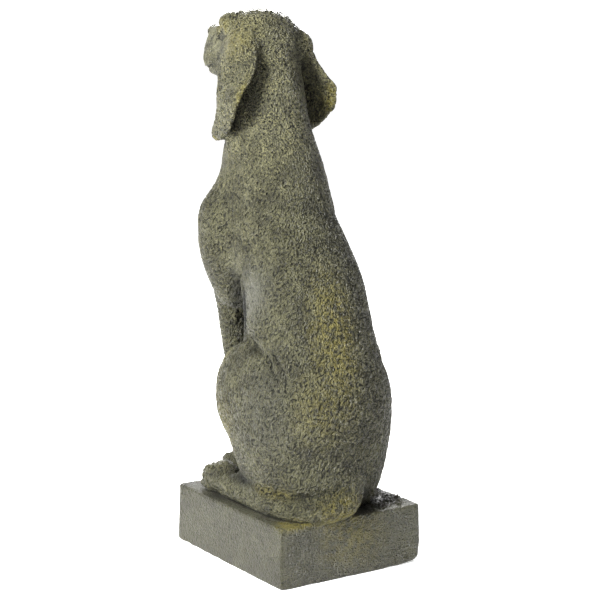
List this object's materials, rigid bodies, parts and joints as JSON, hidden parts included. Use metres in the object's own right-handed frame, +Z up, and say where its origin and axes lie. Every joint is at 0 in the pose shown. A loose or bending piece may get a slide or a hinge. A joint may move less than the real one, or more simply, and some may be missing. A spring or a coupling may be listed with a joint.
{
  "type": "garden statue",
  "caption": "Seated hound garden statue in weathered grey-green cast stone, looking ahead from a rectangular plinth with its tail curled round its left side",
  "frame": {"origin": "centre of the plinth's flat underside", "axes": "+Z up, the dog faces -Y, the dog's left side is +X"},
  "size_m": [0.228, 0.3541, 0.7499],
  "materials": {
    "cast_stone": "rough weathered grey-green, with tan highlights on the raised grain"
  },
  "bodies": {
    "root": {"hound_and_plinth_casting": "cast_stone"}
  },
  "joints": []
}
